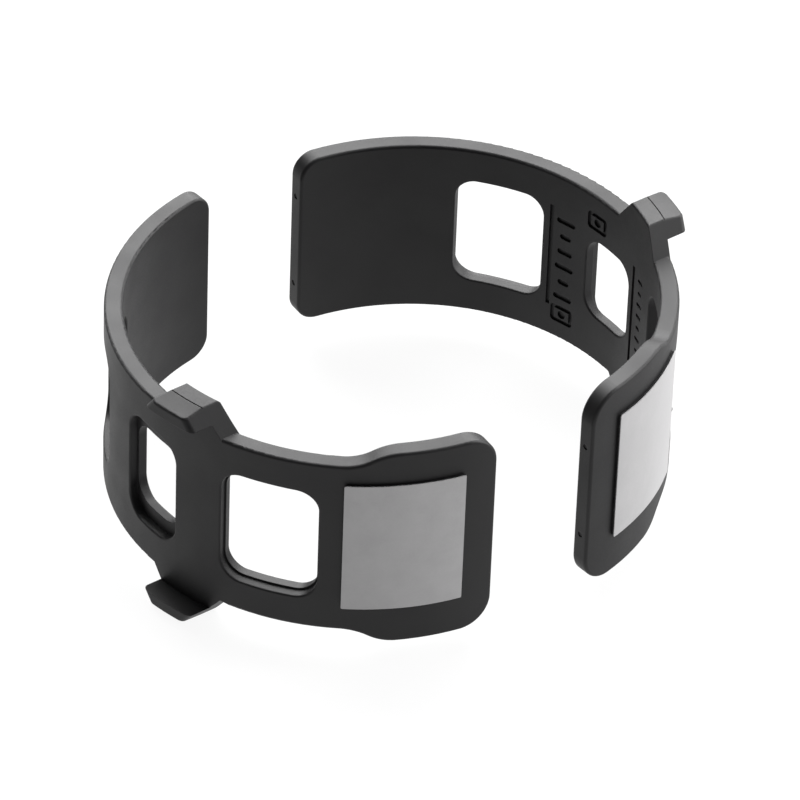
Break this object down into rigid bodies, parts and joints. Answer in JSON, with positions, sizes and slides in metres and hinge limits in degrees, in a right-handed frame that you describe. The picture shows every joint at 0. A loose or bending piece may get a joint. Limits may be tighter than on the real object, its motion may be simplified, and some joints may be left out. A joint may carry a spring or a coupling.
{
  "type": "fence post clamp insulator liner",
  "caption": "Half-round moulded shells with windows, strap hooks and adhesive tape pads that line a strap clamp and insulate it from a round fence post.",
  "frame": {"origin": "on the axis of shell A's inner face, which is the post's axis, at mid-height", "axes": "+Z along the post; -X towards the middle of shell A, +X towards shell B; -Y towards the arms that carry the tape pads"},
  "size_m": [0.0799, 0.0671, 0.034],
  "materials": {
    "shell": "satin black moulded plastic with a fine texture",
    "foam_tape": "black closed-cell foam",
    "release_liner": "silver-grey coated film"
  },
  "bodies": {
    "shell_a": {"half_shell_a": "shell", "foam_tape_a": "foam_tape"},
    "shell_b": {"half_shell_b": "shell", "foam_tape_b": "foam_tape"},
    "liner_a": {"release_liner_a": "release_liner"},
    "liner_b": {"release_liner_b": "release_liner"}
  },
  "joints": [
    {"name": "shell_close", "type": "slide", "parent": "shell_a", "child": "shell_b", "axis": [-0.9822, 0.1876, 0], "range_m": [-0.03, 0.00906]},
    {"name": "liner_a_peel", "type": "slide", "parent": "shell_a", "child": "liner_a", "axis": [-0.4347, -0.9006, 0], "range_m": [0, 0.012]},
    {"name": "liner_b_peel", "type": "slide", "parent": "shell_b", "child": "liner_b", "axis": [0.4347, -0.9006, 0], "range_m": [0, 0.012]}
  ]
}
